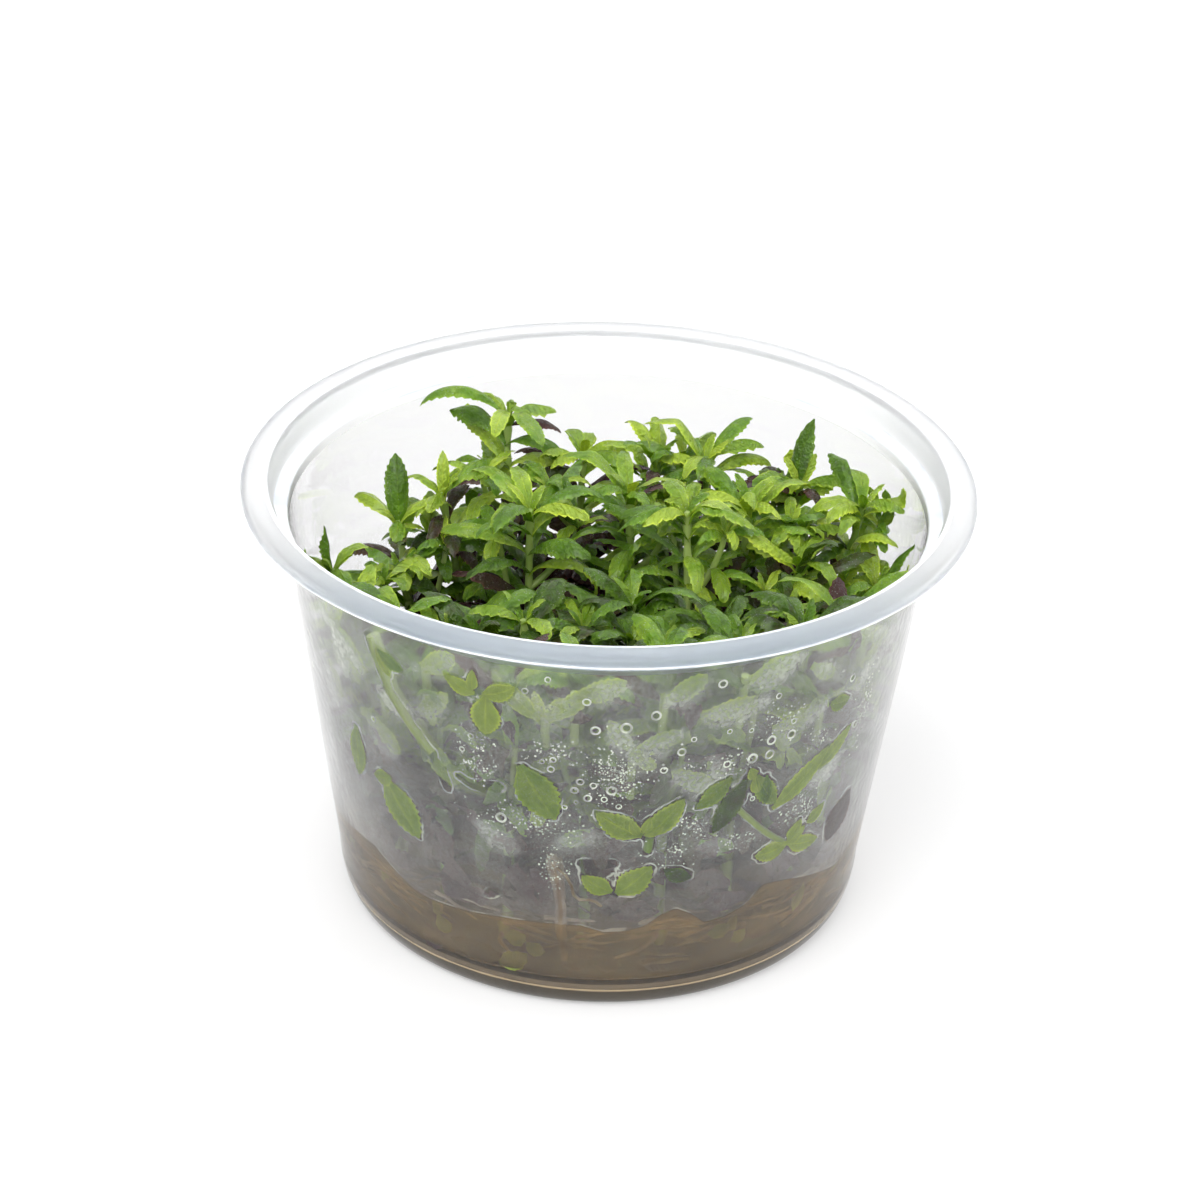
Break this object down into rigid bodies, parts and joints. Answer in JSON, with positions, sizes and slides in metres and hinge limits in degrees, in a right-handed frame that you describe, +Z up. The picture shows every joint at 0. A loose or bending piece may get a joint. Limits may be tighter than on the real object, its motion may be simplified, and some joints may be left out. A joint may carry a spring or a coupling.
{
  "type": "tissue culture aquarium plant in a lidless tub",
  "caption": "Clear round lidless tub with a slab of agar gel and a dense tangle of rooted stem plants with whorled leaves reaching to just below its rim.",
  "frame": {"origin": "centre of the tub's foot ring, on the surface that it stands on", "axes": "+Z up along the tub's axis; -Y towards the viewer of the picture, +X to that viewer's right"},
  "size_m": [0.101, 0.101, 0.0634],
  "materials": {
    "tub": "gloss",
    "gel": "gloss",
    "plant": "satin"
  },
  "bodies": {
    "root": {"agar_gel": "gel", "cup": "tub", "shoot_back": "plant", "shoot_back_left": "plant", "shoot_back_right": "plant", "shoot_centre": "plant", "shoot_centre_front": "plant", "shoot_centre_left": "plant", "shoot_centre_right": "plant", "shoot_far_left": "plant", "shoot_far_left_low": "plant", "shoot_far_right": "plant", "shoot_front_centre": "plant", "shoot_front_inner_1": "plant", "shoot_front_inner_2": "plant", "shoot_front_inner_3": "plant", "shoot_front_inner_4": "plant", "shoot_front_left_broad": "plant", "shoot_front_wall_1": "plant", "shoot_front_wall_2": "plant", "shoot_front_wall_3": "plant", "shoot_front_wall_4": "plant", "shoot_front_wall_5": "plant", "shoot_front_wall_6": "plant", "shoot_front_wall_7": "plant", "shoot_front_wall_8": "plant", "shoot_hollow_1": "plant", "shoot_hollow_2": "plant", "shoot_left_upright": "plant", "shoot_red_back_right": "plant", "shoot_right": "plant", "shoot_right_curled": "plant", "shoot_tall_back_left": "plant", "shoot_thin_left": "plant"}
  },
  "joints": []
}
